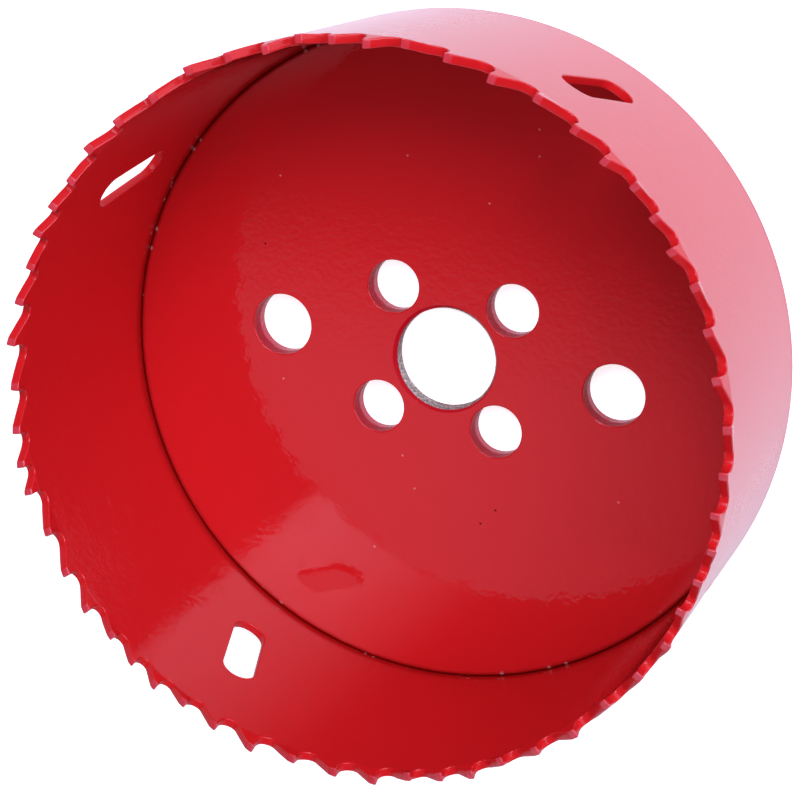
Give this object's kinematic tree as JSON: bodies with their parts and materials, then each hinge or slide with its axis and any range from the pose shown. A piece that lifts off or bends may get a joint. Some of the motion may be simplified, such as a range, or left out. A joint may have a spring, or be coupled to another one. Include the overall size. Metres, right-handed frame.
{
  "type": "hole saw",
  "caption": "Cup-shaped hole saw: a toothed ring wall with slanted slots, welded round a flat backing plate with a threaded arbor hole and drive pin holes.",
  "frame": {"origin": "centre of the backing plate's flat back face, on the axis of rotation", "axes": "+Z along the axis of rotation, from the back towards the teeth; +X through the centre of one of the two larger plate holes; +Y completes the right-handed frame, and the saw cuts turning from +X towards +Y seen from the teeth"},
  "size_m": [0.0997, 0.0996, 0.042],
  "materials": {
    "red_enamel": "glossy red baked enamel over steel",
    "bare_steel": "bare grey machined steel"
  },
  "bodies": {
    "root": {"toothed_wall": "red_enamel", "backing_plate": "red_enamel"}
  },
  "joints": []
}
